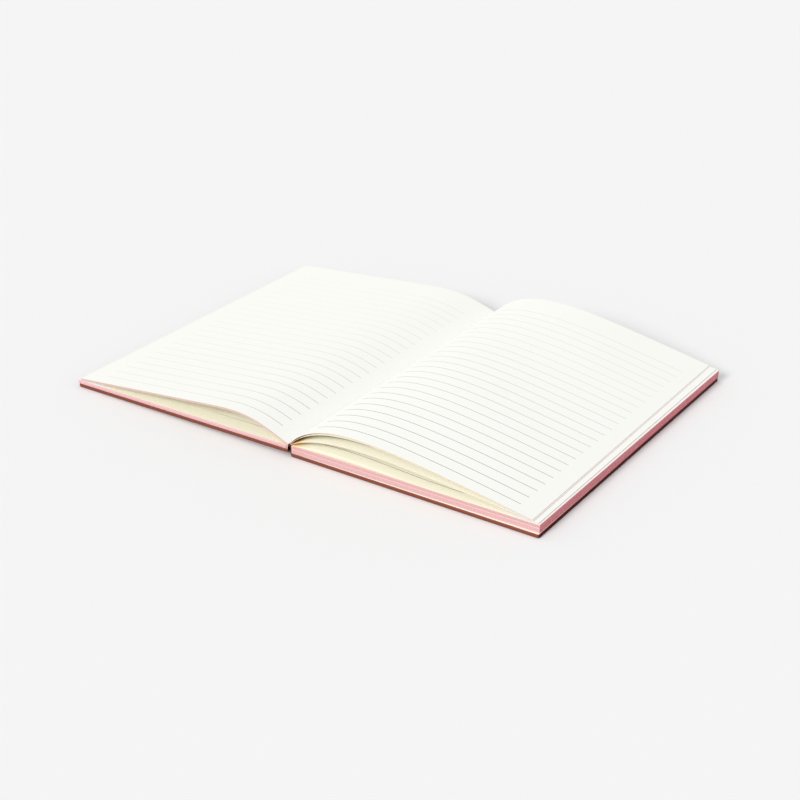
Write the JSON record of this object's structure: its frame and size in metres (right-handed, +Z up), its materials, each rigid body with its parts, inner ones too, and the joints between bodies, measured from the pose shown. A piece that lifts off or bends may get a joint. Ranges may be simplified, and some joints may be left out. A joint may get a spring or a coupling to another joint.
{
  "type": "open ruled notebook",
  "caption": "Slim hard-cover ruled notebook lying open, with a metallic cover, tinted page edges and leaves arching up beside the opening; the front cover and its pages swing shut.",
  "frame": {"origin": "on the table, under the fold of the spine, halfway between tail and head", "axes": "+X runs across the open spread to the right cover's fore edge, +Y from tail to head, +Z up from the table"},
  "size_m": [0.286, 0.21, 0.0229],
  "materials": {
    "board": "plain grey board",
    "cover_sheet": "satin rose-coloured foil on paper",
    "endpaper": "smooth cream paper",
    "lining": "pale glued lining",
    "page_edges": "tinted trimmed edges",
    "fanned_pages": "smooth cream paper with tinted edges",
    "page_face": "smooth ruled cream paper"
  },
  "bodies": {
    "back_half": {"back_board": "board", "back_cover_wrap": "cover_sheet", "back_endpaper": "endpaper", "back_spine_lining": "lining", "back_pages": "page_edges", "back_fanned_pages": "fanned_pages", "back_low_leaf": "page_face", "back_under_leaf": "page_face", "back_top_leaf": "page_face"},
    "front_half": {"front_board": "board", "front_cover_wrap": "cover_sheet", "front_endpaper": "endpaper", "front_spine_lining": "lining", "front_pages": "page_edges", "front_raised_pages": "fanned_pages"}
  },
  "joints": [
    {"name": "front_cover_hinge", "type": "hinge", "parent": "back_half", "child": "front_half", "pos_m": [0, 0, 0.00665], "axis": [0, 1, 0], "range_deg": [0, 180.6], "deforming": ["back_fanned_pages", "back_low_leaf", "back_under_leaf", "back_top_leaf", "front_raised_pages"]}
  ]
}
